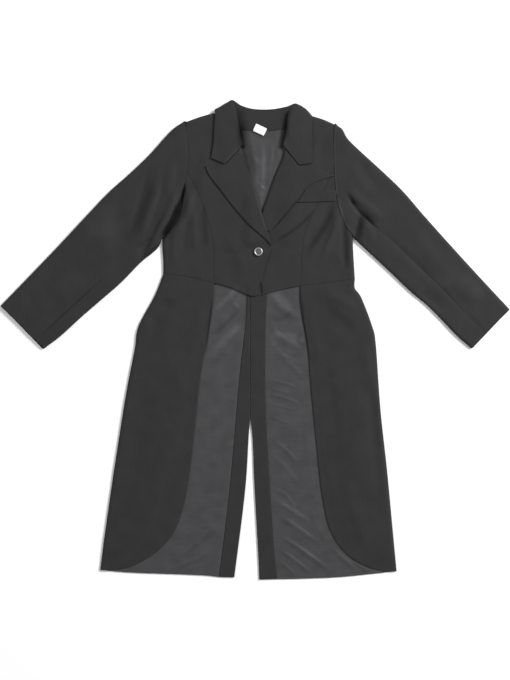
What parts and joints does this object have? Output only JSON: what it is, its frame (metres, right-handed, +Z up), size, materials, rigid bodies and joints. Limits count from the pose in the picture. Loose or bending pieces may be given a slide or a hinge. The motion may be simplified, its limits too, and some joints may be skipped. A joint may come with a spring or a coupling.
{
  "type": "tailcoat laid flat",
  "caption": "Black single-breasted tailcoat laid flat on its back: peaked lapels, pointed waist, long set-in sleeves, cut-away skirts over long lined tails with a back vent.",
  "frame": {"origin": "centre of the coat's outline in plan, on the surface that it lies on", "axes": "+Z up out of the front of the coat, +Y towards the collar, -Y towards the tails' hem, +X towards the wearer's left"},
  "size_m": [1.167, 1.1008, 0.0136],
  "materials": {
    "coat_cloth": "matte black suiting",
    "lining": "soft grey-black satin",
    "label": "plain white woven tape",
    "button_metal": "polished silver colour",
    "button_centre": "dark gloss"
  },
  "bodies": {
    "root": {"back_right": "coat_cloth", "back_left": "coat_cloth", "front_right": "coat_cloth", "front_left": "coat_cloth", "side_front_right": "coat_cloth", "side_front_left": "coat_cloth", "skirt_right": "coat_cloth", "skirt_left": "coat_cloth", "top_sleeve_right": "coat_cloth", "top_sleeve_left": "coat_cloth", "under_sleeve_right": "coat_cloth", "under_sleeve_left": "coat_cloth", "lapel_right": "coat_cloth", "lapel_left": "coat_cloth", "collar_leaf": "coat_cloth", "collar_stand": "coat_cloth", "breast_welt": "coat_cloth", "vent_facing_right": "coat_cloth", "vent_facing_left": "coat_cloth", "back_lining": "lining", "tail_lining_right": "lining", "tail_lining_left": "lining", "neck_label": "label", "button_rim": "button_metal", "button_centre": "button_centre"}
  },
  "joints": []
}
